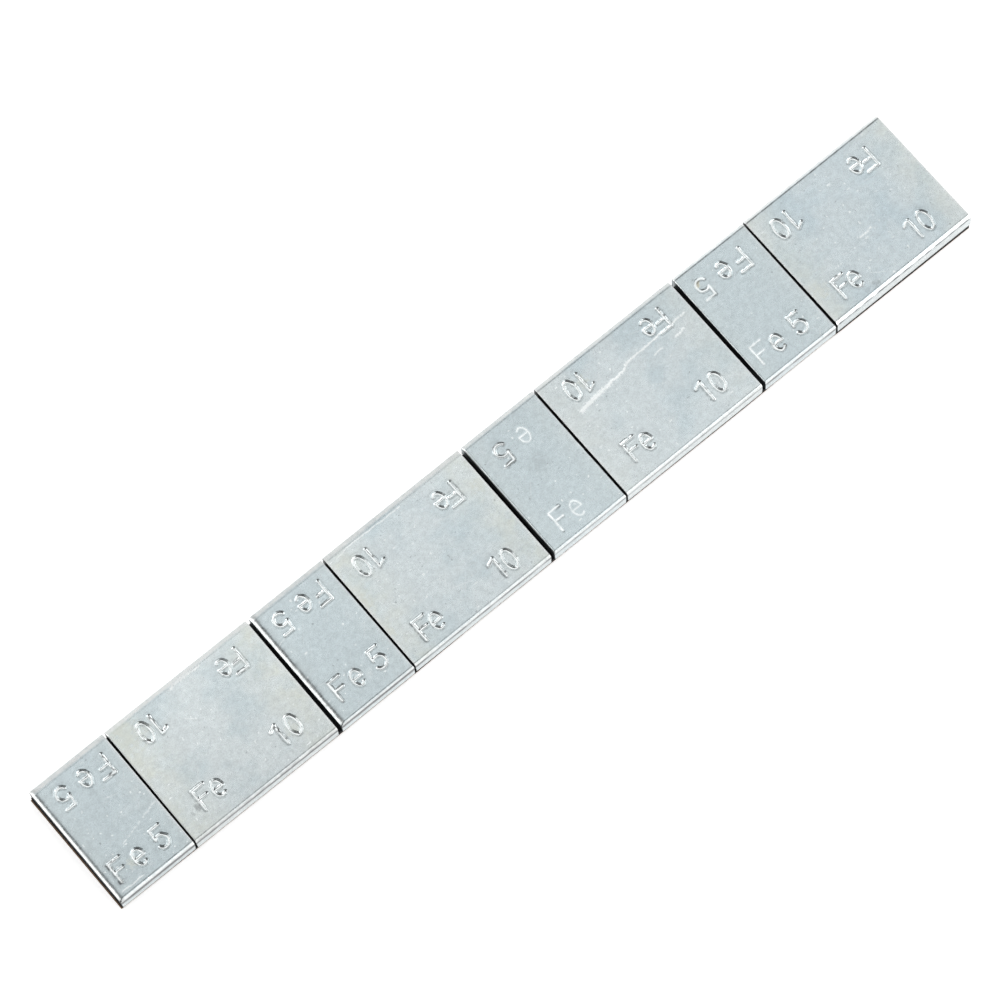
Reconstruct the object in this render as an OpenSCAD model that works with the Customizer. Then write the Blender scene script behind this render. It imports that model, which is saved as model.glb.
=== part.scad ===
// Stick-on wheel balance weight: one straight strip of eight steel weights, 5 g and 10 g in turn,
// held together by a strip of black foam tape with its release liner still on.
// X runs along the strip, Y across it, Z up. The origin is the middle of the liner's underside.

/* [Steel bar] */
// Width of the flat bar that the weights are cut from
bar_w = 19; // [14:0.5:25]
// Thickness of the bar
bar_t = 2.9; // [2.2:0.1:5]
// Width of the pressed bevel along the bar's near top edge
near_bevel_w = 0.4; // [0.2:0.05:1]
// How far that bevel falls
near_bevel_h = 0.4; // [0.2:0.05:1]
// Width of the flatter bevel along the bar's far top edge
far_bevel_w = 0.8; // [0.2:0.05:1.5]
// How far that bevel falls
far_bevel_h = 0.42; // [0.2:0.05:1]
// Radius of the two bottom edges that run along the bar
foot_r = 0.15; // [0.1:0.05:0.5]

/* [Weights] */
// Length of a 5 g weight
len_5g = 12; // [9:0.1:16]
// Length of a 10 g weight
len_10g = 23; // [18:0.1:30]
// Gap after each 5 g weight
gap_after_5g = 0.31; // [0.15:0.01:1.2]
// Gap after each 10 g weight
gap_after_10g = 0.6; // [0.15:0.05:1.2]

/* [Sheared ends] */
// Radius of the rolled-over entry edge of a 5 g weight, at its left end
roll_5g = 0.4; // [0.1:0.05:0.6]
// Radius of the rolled-over entry edge of a 10 g weight, at its left end
roll_10g = 0.15; // [0.1:0.05:0.6]
// Radius left on the exit edge of every weight, at its right end
exit_r = 0.1; // [0.05:0.05:0.4]
// Height of the smooth, sheared band below the top face
shear_h = 1.3; // [0.8:0.1:1.8]
// How far the torn lower part of each end leans in
tear_in = 0.07; // [0.02:0.01:0.3]

/* [Placing] */
// How much longer each weight was cut than its nominal length, first to last
cut_long = [-0.1, 0.1, 0, -0.4, 0, -0.15, 0, 0.05]; // [-0.5:0.05:0.5]
// How far each weight was laid off the middle line, towards +Y, first to last
laid_off = [0.06, -0.04, -0.09, 0, -0.03, -0.03, -0.07, -0.02]; // [-0.2:0.01:0.2]
// How far each weight was laid out of square, in degrees, first to last
laid_turn = [0, -0.25, 0.08, 0, 0, -0.06, -0.28, 0.06]; // [-0.5:0.02:0.5]

/* [Foam tape] */
// How far the tape's long edges lie inside those of the bar
tape_inset = 0.17; // [0:0.01:1]
// Thickness of the foam tape, with its two films of adhesive
tape_t = 0.8; // [0.5:0.1:2]
// How far the tape stands out past the first weight
tape_out = 0.05; // [0:0.05:2]
// How far the tape stops short of the end of the last weight
tape_short = 0.1; // [0:0.05:1]
// How much further the tape stands out at its far left corner, where it was cut askew
tape_skew = 0.1; // [0:0.05:1]
// How far the tape was laid out of line with the weights, in degrees
tape_turn = -0.14; // [-0.3:0.02:0.3]

/* [Release liner] */
// Thickness of the release liner
liner_t = 0.12; // [0.08:0.02:0.3]
// How far the liner stands out past the tape at the left end
liner_out = 0.15; // [0:0.05:1]

/* [Hidden] */
$fn = 48;
// Number of weights on the strip, 5 g and 10 g in turn
weights = 8;
zinc = [0.78, 0.82, 0.84];
foam_black = [0.07, 0.07, 0.08];
liner_brown = [0.62, 0.47, 0.33];
tape_w = bar_w - 2 * tape_inset;
strip_len = weight_start(weights - 1) + weight_len(weights - 1);
tape_len = strip_len + tape_out - tape_short;
strip_x = -tape_len / 2 + tape_out;
steel_z = liner_t + tape_t;

// Every second weight is a 10 g one
function is_10g(i) = i % 2 == 1;

function weight_len(i) = (is_10g(i) ? len_10g : len_5g) + cut_long[i];

// Where weight i begins, from the start of the first: after the weight before it and the gap between them
function weight_start(i) = i == 0 ? 0
    : weight_start(i - 1) + weight_len(i - 1) + (is_10g(i - 1) ? gap_after_10g : gap_after_5g);

// Section of the rolled bar, middle of the underside at the origin: a steep bevel on the near top edge,
// a flatter one on the far top edge, and two rounded bottom edges
module bar_section() {
    half = bar_w / 2;
    polygon([
        [-half + foot_r, 0], [half - foot_r, 0],
        [half, foot_r], [half, bar_t - far_bevel_h],
        [half - far_bevel_w, bar_t], [-half + near_bevel_w, bar_t],
        [-half, bar_t - near_bevel_h], [-half, foot_r]
    ]);
    for (side = [-1, 1])
        translate([side * (half - foot_r), foot_r]) circle(r = foot_r);
}

// Side view of one weight between its two cuts: a rolled-over entry edge at the left,
// a sharper exit edge at the right, a straight sheared band, and a torn lower part that leans in
module cut_section(length, roll_r) {
    band_z = bar_t - shear_h;
    polygon([
        [tear_in, 0], [length - tear_in, 0],
        [length, band_z], [length, bar_t - exit_r],
        [length - exit_r, bar_t], [roll_r, bar_t],
        [0, bar_t - roll_r], [0, band_z]
    ]);
    translate([roll_r, bar_t - roll_r]) circle(r = roll_r);
    translate([length - exit_r, bar_t - exit_r]) circle(r = exit_r);
}

// One weight: the rolled bar, kept between its two cuts
module steel_weight(length, roll_r) {
    intersection() {
        rotate([90, 0, 90]) linear_extrude(height = length) bar_section();
        translate([0, bar_w / 2 + 1, 0]) rotate([90, 0, 0])
            linear_extrude(height = bar_w + 2) cut_section(length, roll_r);
    }
}

// Weight i in its place on the tape, turned about its own middle
module laid_weight(i) {
    length = weight_len(i);
    color(zinc)
    translate([strip_x + weight_start(i) + length / 2, laid_off[i], steel_z])
        rotate([0, 0, laid_turn[i]])
        translate([-length / 2, 0, 0])
        steel_weight(length, is_10g(i) ? roll_10g : roll_5g);
}

// Outline of the tape, which stands out by extra more at its left end
module tape_outline(extra) {
    half_l = tape_len / 2;
    half_w = tape_w / 2;
    rotate(tape_turn)
        polygon([
            [-half_l - extra, -half_w], [half_l, -half_w],
            [half_l, half_w], [-half_l - extra - tape_skew, half_w]
        ]);
}

module weight_1_5g() { laid_weight(0); }
module weight_2_10g() { laid_weight(1); }
module weight_3_5g() { laid_weight(2); }
module weight_4_10g() { laid_weight(3); }
module weight_5_5g() { laid_weight(4); }
module weight_6_10g() { laid_weight(5); }
module weight_7_5g() { laid_weight(6); }
module weight_8_10g() { laid_weight(7); }

module foam_tape() {
    color(foam_black) translate([0, 0, liner_t]) linear_extrude(height = tape_t) tape_outline(0);
}

module release_liner() {
    color(liner_brown) linear_extrude(height = liner_t) tape_outline(liner_out);
}

weight_1_5g();
weight_2_10g();
weight_3_5g();
weight_4_10g();
weight_5_5g();
weight_6_10g();
weight_7_5g();
weight_8_10g();
foam_tape();
release_liner();
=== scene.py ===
"""Looks of a stick-on wheel balance weight: eight stamped, zinc-plated steel weights on black foam tape."""
import math

import bpy
import numpy as np
from mathutils import Matrix, Vector


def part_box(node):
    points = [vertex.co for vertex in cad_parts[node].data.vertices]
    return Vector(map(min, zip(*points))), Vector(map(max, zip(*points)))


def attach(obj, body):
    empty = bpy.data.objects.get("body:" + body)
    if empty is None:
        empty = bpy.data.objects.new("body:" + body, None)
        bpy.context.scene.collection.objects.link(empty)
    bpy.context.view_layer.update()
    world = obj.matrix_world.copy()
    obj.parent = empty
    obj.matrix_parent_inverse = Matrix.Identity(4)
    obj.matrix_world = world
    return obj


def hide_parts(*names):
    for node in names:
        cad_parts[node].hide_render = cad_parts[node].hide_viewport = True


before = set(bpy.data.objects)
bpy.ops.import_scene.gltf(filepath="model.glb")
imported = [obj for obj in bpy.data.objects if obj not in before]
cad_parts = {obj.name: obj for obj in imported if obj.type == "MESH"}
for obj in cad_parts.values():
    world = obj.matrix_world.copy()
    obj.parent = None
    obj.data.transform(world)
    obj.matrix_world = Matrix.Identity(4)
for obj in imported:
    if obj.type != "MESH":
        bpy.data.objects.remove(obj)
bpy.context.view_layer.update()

bl_info = {
    "name": "Wheel balance weight strip",
    "version": (1, 0, 0),
    "blender": (4, 5, 0),
    "location": "3D View > Sidebar > Balance weight",
    "description": "Makes the stamped weights, the foam tape, the release liner and a plain studio stage",
    "category": "Object",
}

MM = 0.001
# Sizes of the bar that the boxes of the solids don't tell, in mm: its width, the radius of its bottom
# edges, how far below the top the torn part of a cut begins and how far that leans in
BAR_WIDTH = 19.0
FOOT_RADIUS = 0.15
SHEARED_DEPTH = 1.3
TORN_IN = 0.07
# Where the plain band between the two rows of marks begins and ends across a weight, in mm from its
# middle line, and where it ends on a scratched weight
PLAIN_NEAR, PLAIN_FAR, SCRATCHED_FAR = -3.6, 3.6, 2.5
# Depth of the scratches, height of the lumps along the long bevels and least clearance below the
# solid's top, in mm
SCRATCH_DEPTH, LUMPS, CLEARANCE = 0.012, 0.008, 0.02
# Places of the rings down the sides of a weight, as shares of its height from the top
SIDE_RINGS = (0.03, 0.08, 0.14, 0.2, 0.28, 0.38, 0.5, 0.65, 0.8, 0.92, 0.97, 1.0)
# Angle between faces, in degrees, above which an edge is drawn sharp
SHARP_ANGLE = 42
# Step along the outline and roughness of the cut edges, in mm, and the seed that they are drawn from
TAPE_CUT = (0.35, 0.05, 71)
LINER_CUT = (0.5, 0.012, 72)
# How much of the short and of the long weights is pale, as a shift of the limits of the pale clouds
SHORT_PALENESS, LONG_PALENESS = -0.12, 0.17
# How much lighter zinc the long sides get, partly rubbed and partly a painted reflection, from 0 to 1
SIDE_LIGHTENED = 0.38
# Colours of wear and dirt, of painted shade and of painted highlights
BROWNED = (0.4, 0.31, 0.17)
HAIR_SCRATCH = (0.83, 0.85, 0.85)
BRIGHT_SPECK = (0.93, 0.98, 0.98)
DARK_SPECK = (0.2, 0.22, 0.23)
# Grime and painted shade of the dark hairlines along the bevels and beside the stamped stems
GRIME_AND_SHADE = (0.11, 0.115, 0.12)
# Painted shade: the dark band just inside the rolled-over left edges
ROLLED_EDGE_SHADE = (0.1, 0.105, 0.11)
# Oil stains, and painted shade beside the F stems
OIL_SMUDGE_AND_SHADE = (0.17, 0.18, 0.185)
SCRAPED = (0.96, 1.0, 1.0)
# Painted highlight along the sharp cut rims
RIM_HIGHLIGHT = (0.93, 0.94, 0.93)
FOAM_DUST = (0.09, 0.085, 0.08)
PAPER_SPECK = (0.2, 0.11, 0.05)
# Level directions in the studio: where the photographer stands, and behind the strip
FRONT = (-0.81, -0.59, 0.0)
BACK = (0.6, 0.8, 0.0)
# Light of the surroundings against the sine of the height above the horizon
HORIZON_STEPS = ((0.0, 1.0), (0.03, 1.0), (0.09, 0.0))
BASE_STEPS = ((0.0, 0.28), (0.14, 0.28), (0.93, 0.2), (1.0, 0.5))
LOW_STEPS = ((0.0, 0.1), (0.06, 0.3), (0.14, 1.0), (0.5, 1.0), (0.63, 0.0))
# Places and sizes of the softboxes, and half the floor's width, in metres
OVERHEAD_PLACE, OVERHEAD_SIZE = (0.3, 0.18, 0.9), (1.2, 0.72)
SIDE_AWAY, SIDE_UP, SIDE_SIZE = 0.65, 0.27, (0.8, 0.5)
FRONT_PLACE, FRONT_SIZE = (0.12, -0.66, 0.27), (0.7, 0.42)
FLOOR_REACH = 3.0
WEIGHTS = (
    "weight_1_5g", "weight_2_10g", "weight_3_5g", "weight_4_10g",
    "weight_5_5g", "weight_6_10g", "weight_7_5g", "weight_8_10g",
)
SHORT_WEIGHTS = WEIGHTS[::2]
LONG_WEIGHTS = WEIGHTS[1::2]


def of_each(*values):
    """A table with one value for each weight, first to last."""
    return dict(zip(WEIGHTS, values))


# How far each weight lies out of square on the tape, in degrees, as in the solids
LAID_TURN = of_each(0.0, -0.25, 0.08, 0.0, 0.0, -0.06, -0.28, 0.06)

# Where each row of stamped marks begins, in mm: along the weight from its left end, and the
# baseline across it. The far row is the near one turned half round, so it begins at its right.
NEAR_ROW = of_each(
    (1.65, -7.8), (3.5, -7.15), (2.1, -7.25), (3.1, -8.1), (2.6, -8.05), (3.65, -7.05), (1.0, -7.65),
    (3.1, -7.65),
)
FAR_ROW = of_each(
    (10.35, 7.55), (20.05, 7.65), (10.1, 7.7), (19.5, 6.9), (10.7, 6.85), (19.7, 7.7), (9.7, 7.35),
    (19.4, 7.2),
)
# Marks of a row with their distance from where the row begins, in mm
SHORT_NEAR = (("F", 0.0), ("e", 2.8), ("5", 6.3))
SHORT_FAR = (("F", 0.0), ("e", 2.5), ("5", 6.2))
LONG_NEAR = (("F", 0.0), ("e", 2.0), ("1", 13.4), ("0", 14.4))
LONG_FAR = (("F", 0.0), ("e", 2.0), ("1", 14.1), ("0", 15.2))
# How far each mark of the two rows was punched off its place, in mm towards the right end
NUDGED = of_each(
    ((-0.15, 0.0, 0.1), (0.0, -0.3, -0.1)), ((-0.1, 0.05, 0.0, 0.2), (-0.2, 0.0, -0.05, 0.15)),
    ((-0.15, -0.35, -0.2), (0.0, 0.0, 0.0)), ((-0.1, -0.25, -0.15, -0.25), (-0.25, 0.0, -0.2, -0.1)),
    ((-0.05, -0.3, 0.0), (0.0, 0.05, 0.1)), ((-0.15, -0.1, -0.4, -0.3), (-0.2, 0.0, 0.05, 0.1)),
    ((0.25, 0.0, 0.2), (-0.15, -0.3, -0.1)), ((-0.15, -0.3, -0.35, -0.3), (-0.4, -0.15, -0.2, -0.2)),
)
# How hard each mark of a row was struck, from 0, not at all, to 1
STRUCK = of_each(
    ((1.0, 1.0, 1.0), (0.75, 1.0, 1.0)), ((0.75, 1.0, 0.8, 1.0), (0.7, 1.0, 0.8, 0.9)),
    ((0.6, 0.85, 0.75), (0.7, 0.85, 0.85)), ((0.85, 1.0, 0.9, 1.0), (0.95, 1.0, 0.8, 1.0)),
    ((0.42, 0.3, 0.0), (0.0, 0.33, 0.62)), ((0.85, 0.95, 0.85, 1.0), (0.9, 1.0, 0.8, 0.9)),
    ((0.4, 0.8, 0.9), (0.95, 0.9, 0.5)), ((0.85, 0.9, 0.85, 1.0), (0.95, 1.0, 0.75, 0.9)),
)
# Painted shade beside the stems of the two rows of marks, where the steep groove wall falls dark, from 0 to
# 1
STEM_SHADE_LEVELS = of_each(
    (0.9, 0.1), (0.6, 0.35), (0.35, 0.1), (0.75, 0.6), (0.0, 0.0), (0.6, 0.4), (0.1, 0.15), (0.25, 0.2),
)
# Bevels of the long top edges, in mm: width and drop of the near one, then width and drop of the far
# one and the radius where the top turns into it
BEVELS = of_each(
    (0.36, 0.4, 1.0, 0.42, 0.1), (0.28, 0.4, 0.86, 0.42, 0.12), (0.23, 0.36, 0.88, 0.4, 0.16),
    (0.27, 0.36, 0.88, 0.4, 0.13), (0.26, 0.34, 0.77, 0.42, 0.22), (0.3, 0.36, 0.67, 0.4, 0.27),
    (0.26, 0.36, 0.52, 0.4, 0.28), (0.52, 0.4, 0.53, 0.4, 0.34),
)
# Dark hairlines, partly grime and partly painted shade that stands in for dark reflections along the
# bevels: darkness of the one inside the near bevel, of the one on its outer edge, of the one near the
# top of the near side and its place below the bevel in mm, and darkness of the one inside the far bevel
SHADE_AND_GRIME_LINES = of_each(
    (0.5, 0.3, 3.0, 0.47, 0.0), (0.4, 0.6, 2.2, 0.2, 0.0), (0.55, 0.3, 2.8, 0.45, 0.15),
    (0.3, 0.2, 1.15, 0.42, 0.1), (0.3, 0.15, 0.85, 0.4, 0.25), (0.25, 0.25, 0.9, 0.25, 0.45),
    (0.4, 0.15, 1.2, 0.45, 0.85), (0.3, 1.15, 0.1, 0.3, 1.0),
)
# Rolled-over left edges: how far in the rounding reaches and how wide its steep outer part is, in mm,
# the slope of that part, in degrees, and how much painted shade darkens the rounding
ROLLED_LONG = (0.09, 0.03, 34, 0.0)
ROLLED = of_each(
    (0.78, 0.12, 34, 0.09), (0.19, 0.07, 48, 0.0), (0.92, 0.19, 34, 0.0), ROLLED_LONG,
    (0.36, 0.09, 54, 0.05), ROLLED_LONG, (0.24, 0.07, 48, 0.0), ROLLED_LONG,
)
# The sharper right edges, in the same way
CUT_OFF_LONG = (0.08, 0.03, 45)
CUT_OFF = of_each(
    (0.06, 0.02, 34), CUT_OFF_LONG, (0.1, 0.05, 60), CUT_OFF_LONG,
    (0.13, 0.08, 62), CUT_OFF_LONG, (0.11, 0.06, 60), CUT_OFF_LONG,
)
# How bare the steel is at the left and right ends, where the rest has a trace of zinc
BARE_LONG = (0.8, 0.8)
BARE = of_each(
    (1.0, 0.6), BARE_LONG, (0.55, 0.8), BARE_LONG, (0.5, 0.8), BARE_LONG, (0.45, 0.8), BARE_LONG,
)
# How much paler than the others each weight is on top and on its sides, and how much paler its far
# edge is than its middle
TONE = of_each(
    (-0.04, -0.17, 0.06), (0.0, -0.17, 0.09), (0.0, -0.06, 0.05), (0.0, -0.08, 0.045),
    (0.005, -0.02, -0.02), (0.005, -0.1, -0.01), (0.01, -0.05, 0.01), (-0.005, -0.13, 0.02),
)
# How much straw tint each weight has at its ends, and how much deep blue in its middle
TINT = of_each(
    (0.12, 0.1), (0.85, 0.0), (0.12, 0.1), (0.75, 0.2), (0.12, 0.1), (0.2, 0.25), (0.12, 0.1),
    (0.45, 0.6),
)
# Scratches: points along each, in mm from the weight's left end and middle line, its width in mm and
# how bright it is
SCRATCHES = {
    "weight_1_5g": (
        (((5.0, -3.7), (8.0, -2.9), (11.6, -1.9)), 0.18, 0.55),
        (((1.0, -8.55), (2.6, -8.6), (4.4, -8.55)), 0.24, 0.75),
        (((2.65, 0.7), (2.8, 0.72)), 0.22, 0.8),
    ),
    "weight_2_10g": (
        (((8.9, 4.3), (10.2, 3.2)), 0.18, 0.6),
        (((10.1, 8.45), (10.5, 8.7), (14.7, 8.55)), 0.55, 1.0),
    ),
    "weight_3_5g": (
        (((2.5, 0.95), (2.75, 0.9)), 0.24, 0.9),
        (((0.6, 3.9), (2.0, 4.3)), 0.12, 0.6),
    ),
    "weight_4_10g": (
        (((1.5, 8.1), (3.4, 8.4), (12.0, 8.3)), 0.2, 0.8),
        (((7.8, 4.4), (8.0, 4.45)), 0.24, 0.7),
    ),
    "weight_6_10g": (
        (((2.8, 3.05), (5.1, 3.35), (8.4, 3.6)), 0.72, 1.0),
        (((8.4, 3.6), (10.6, 3.8), (11.6, 4.35)), 0.5, 1.0),
        (((11.6, 4.35), (16.1, 4.5), (21.6, 4.8)), 0.34, 0.9),
        (((14.9, 2.85), (16.3, 2.9)), 0.24, 0.8),
        (((18.7, 3.0), (20.2, 3.15)), 0.32, 1.0),
        (((11.8, -0.1), (13.8, -1.2)), 0.1, 0.4),
    ),
    "weight_8_10g": (
        (((9.9, -2.1), (12.2, -2.15)), 0.22, 1.0),
        (((5.3, -3.3), (6.1, -3.35)), 0.18, 0.8),
        (((9.7, -3.3), (10.2, -3.2)), 0.16, 0.7),
        (((10.6, -2.8), (11.1, -2.85)), 0.12, 0.6),
        (((13.4, -1.9), (13.8, -2.1)), 0.13, 0.6),
        (((13.3, -4.9), (13.6, -5.0)), 0.14, 0.6),
        (((7.9, -6.8), (9.6, -8.0)), 0.15, 0.5),
    ),
}
# Dark smudges: place in mm, radius in mm and strength. Most are left by the stamping oil, while those beside
# the F stems of the first two weights are painted shade.
SMUDGES_AND_SHADE = {
    "weight_1_5g": ((2.0, -7.4, 0.55, 0.5), (6.2, 4.1, 0.7, 0.25)),
    "weight_2_10g": ((3.0, -6.1, 0.75, 0.8), (12.3, -4.4, 0.25, 0.8), (2.1, -6.45, 0.3, 0.5)),
    "weight_5_5g": ((6.3, 1.2, 1.6, 0.28),),
    "weight_8_10g": ((7.6, -8.45, 0.7, 0.6), (6.0, -8.5, 0.6, 0.35)),
}
# Places where the plating has turned straw, or brown where the strength is above 1, in the same way
STRAW = {
    "weight_1_5g": ((4.4, -6.4, 1.0, 0.7),),
    "weight_2_10g": ((1.5, 7.0, 3.2, 0.6), (18.8, -5.8, 1.3, 0.6), (4.4, 6.4, 1.2, 0.5)),
    "weight_4_10g": ((0.2, 1.0, 1.4, 0.9), (0.3, -4.0, 1.0, 0.8), (21.8, 4.0, 1.2, 0.6)),
    "weight_6_10g": ((5.4, 6.0, 1.0, 0.6),),
    "weight_7_5g": ((2.0, 6.6, 0.62, 1.35),),
    "weight_8_10g": ((1.2, -4.5, 1.6, 0.6),),
}
# How far the near edges of the tape and the liner wander inwards from a straight cut, in mm, at places
# along the strip
KNIFE_WANDER = (
    (-80, -0.03), (-59, -0.09), (-36, -0.14), (-24, -0.11), (-12, 0.02), (6, 0.02), (24, 0.01), (33, 0.01),
    (38, 0.08), (47, 0.08), (49, 0.0), (80, 0.0),
)


def length_prop(name, description, value, least, most):
    """A length that is set here in mm and kept in metres."""
    return bpy.props.FloatProperty(
        name=name, description=description, default=value * MM, min=least * MM, max=most * MM,
        unit="LENGTH", precision=6)


def colour_prop(name, description, value):
    """A colour."""
    return bpy.props.FloatVectorProperty(
        name=name, description=description, subtype="COLOR", size=3, min=0.0, max=1.0, default=value)


def share_prop(name, description, value):
    """A share from 0 to 1."""
    return bpy.props.FloatProperty(
        name=name, description=description, subtype="FACTOR", min=0.0, max=1.0, default=value)


def light_prop(name, description, value):
    """Brightness of a light, where 1 is white."""
    return bpy.props.FloatProperty(name=name, description=description, min=0.0, max=10.0, default=value)


class WeightSizes(bpy.types.PropertyGroup):
    """Sizes of the stamped steel weights that the solids leave plain."""

    cell: length_prop(
        "Grid step", "Step of the grid that each stamped face is worked out on", 0.08, 0.05, 0.5)
    wide_cell: length_prop(
        "Wide grid step", "Step across the plain band between the two rows of marks", 0.2, 0.05, 0.5)
    bevel_top_radius: length_prop(
        "Bevel upper radius", "Radius where the top turns into the near bevel", 0.25, 0.02, 0.5)
    bevel_side_radius: length_prop(
        "Bevel lower radius", "Radius where the long bevels turn into the sides", 0.1, 0.02, 0.3)
    stroke: length_prop("Stroke width", "Width of a stamped stroke at half its depth", 0.43, 0.2, 1.0)
    stroke_wall: length_prop("Stroke wall", "Width of the sloping wall of a stamped stroke", 0.26, 0.05, 0.4)
    depth: length_prop("Stamp depth", "Depth of a stroke that was struck fully", 0.22, 0.02, 0.4)
    lip: length_prop("Stamp lip", "Height of the metal pushed up beside a stroke", 0.03, 0.0, 0.1)
    waviness: length_prop("Waviness", "How far the rolled faces wander from flat", 0.012, 0.0, 0.1)


class ZincFinish(bpy.types.PropertyGroup):
    """Colours and gloss of the zinc plating and of the bare cut ends."""

    blue: colour_prop("Blue tint", "Zinc where the plating has its bluish tint", (0.555, 0.63, 0.652))
    deep_blue: colour_prop("Deep blue tint", "Zinc in the middle of the bluest weights", (0.52, 0.62, 0.67))
    pale: colour_prop("Pale tint", "Zinc where the plating is neutral and pale", (0.635, 0.69, 0.7))
    straw: colour_prop("Straw tint", "Zinc where the plating has its faint straw tint", (0.675, 0.705, 0.64))
    # Partly rubbed zinc and partly painted highlight: the lighter colour stands in for the bright floor and
    # lamps that the bevels and sides reflect
    side: colour_prop(
        "Side tint", "Brighter, rubbed zinc on the bevels and the long sides", (0.88, 0.9, 0.89))
    # Partly burnish and partly painted highlight: the white stands in for the light caught on the stroke
    # walls
    burnished_and_highlit: colour_prop(
        "Burnished tint", "White, burnished zinc in the stamped strokes", (0.93, 0.97, 0.97))
    bare: colour_prop("Bare steel", "Sheared ends, where the steel is bare and oily", (0.062, 0.06, 0.058))
    grazing: share_prop("Grazing sheen", "How much the worn tops still reflect at a grazing angle", 0.35)
    chalk: share_prop("Chalkiness", "How much of the plain top scatters light instead of mirroring it", 0.25)
    roughness: share_prop("Roughness", "Roughness of the plated faces", 0.29)


class TapeFinish(bpy.types.PropertyGroup):
    """Colours of the foam tape and of its release liner."""

    foam: colour_prop("Foam", "Black closed-cell foam", (0.024, 0.024, 0.025))
    liner: colour_prop("Liner", "Brown release paper", (0.3, 0.19, 0.11))


class StageSettings(bpy.types.PropertyGroup):
    """The floor, the soft lamps and the camera."""

    overhead: light_prop("Overhead softbox", "Brightness of the large lamp overhead", 0.785)
    side: light_prop("Side softboxes", "Brightness of the lamps at the left and right of the picture", 1.5)
    front: light_prop("Front softbox", "Brightness of the low lamp in front of the strip", 1.35)
    low_light: light_prop("Low surroundings", "Brightness low down behind the strip", 0.64)
    floor: colour_prop("Floor", "Colour of the pale floor", (0.95, 0.95, 0.95))
    floor_glow: share_prop(
        "Floor white", "Plain white added to what the camera and reflections see of the floor", 0.6)
    camera_place: bpy.props.FloatVectorProperty(
        name="Camera place",
        description="Where the camera stands, as worked out from the photograph",
        subtype="TRANSLATION", size=3, default=(-0.116785, -0.180086, 0.657427))
    camera_view: bpy.props.FloatVectorProperty(
        name="Camera view", description="Direction in which the camera looks",
        subtype="DIRECTION", size=3, default=(0.168979, 0.262449, -0.950035))
    camera_up: bpy.props.FloatVectorProperty(
        name="Camera up", description="Direction that is up in the picture",
        subtype="DIRECTION", size=3, default=(0.617122, 0.723398, 0.309605))
    lens: bpy.props.FloatProperty(
        name="Lens", description="Focal length for a 36 mm wide sensor, in mm",
        min=20.0, max=400.0, default=191.65)


def waves(x, y, seed, length, count=14):
    """Smooth random field of x and y: the sum of plane cosine waves, scaled to about -1 to 1, whose
    directions and phases are drawn from the seed, with wavelengths from 0.6 to 1.6 times length."""
    rng = np.random.default_rng(seed)
    total = np.zeros(np.broadcast(x, y).shape)
    for _ in range(count):
        angle, phase = rng.uniform(0, 2 * math.pi, 2)
        k = 2 * math.pi / (length * rng.uniform(0.6, 1.6))
        total += np.cos(k * (math.cos(angle) * x + math.sin(angle) * y) + phase)
    return total / math.sqrt(count / 2) / 1.6


def smooth_step(low, high, value):
    """0 below low, 1 above high, and 3t^2 - 2t^3 between them."""
    t = np.clip((value - low) / (high - low), 0.0, 1.0)
    return t * t * (3 - 2 * t)


def arc(cx, cy, rx, ry, start, end, count=20):
    """Points on an ellipse about (cx, cy) with half axes rx and ry, from angle start to end in degrees."""
    a = np.radians(np.linspace(start, end, count))
    return np.stack([cx + rx * np.cos(a), cy + ry * np.sin(a)], 1)


def mark_strokes(mark):
    """Centre lines of a mark's strokes in mm: x from its left edge, y up from its baseline.
    With their strokes the capital and the figures stand 3.4 mm tall and the small letter 2.7 mm."""
    low, high = 0.25, 3.2
    if mark == "F":
        return [
            np.array([(0.25, low), (0.25, high), (1.95, high)]),
            np.array([(0.25, 1.8), (1.55, 1.8)]),
        ]
    if mark == "e":
        bowl = arc(1.0, 1.4, 0.72, 1.14, 0, 305)
        return [bowl, np.array([(0.3, 1.4), (1.72, 1.4)])]
    if mark == "5":
        bowl = arc(0.95, 1.14, 0.86, 0.9, 138, -148)
        return [np.array([(1.8, high), (0.42, high), (0.31, 1.74)]), bowl]
    if mark == "1":
        return [np.array([(-0.7, 2.75), (0.25, high), (0.25, low)])]
    return [arc(1.0, 1.72, 0.74, 1.47, 0, 360, 32)]


def distance_to_lines(x, y, lines):
    """Distance from each point to the nearest of the lines: for each straight piece, the point is
    projected on it, held between its ends, and the least distance over all pieces is kept."""
    best = np.full(x.shape, np.inf)
    for line in lines:
        for a, b in zip(line[:-1], line[1:]):
            d = b - a
            t = ((x - a[0]) * d[0] + (y - a[1]) * d[1]) / max(float(d @ d), 1e-12)
            t = np.clip(t, 0.0, 1.0)
            best = np.minimum(best, np.hypot(x - a[0] - t * d[0], y - a[1] - t * d[1]))
    return best


def row_marks(name):
    """Every mark of a weight: its strokes placed on the weight, in mm, how hard it was struck, and
    how much painted shade lies on its own left, less than 0 if that is towards the right end."""
    short = name in SHORT_WEIGHTS
    rows = (
        (NEAR_ROW[name], SHORT_NEAR if short else LONG_NEAR, 1),
        (FAR_ROW[name], SHORT_FAR if short else LONG_FAR, -1),
    )
    placed = []
    for row, struck, nudged, stem_shading in zip(rows, STRUCK[name], NUDGED[name], STEM_SHADE_LEVELS[name]):
        (start, base), marks, way = row
        for (mark, offset), hard, nudge in zip(marks, struck, nudged):
            if hard > 0:
                lines = [
                    np.stack([start + nudge + way * (offset + line[:, 0]), base + way * line[:, 1]], 1)
                    for line in mark_strokes(mark)
                ]
                placed.append((lines, hard, way * stem_shading * (mark in "F1")))
    return placed


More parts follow.
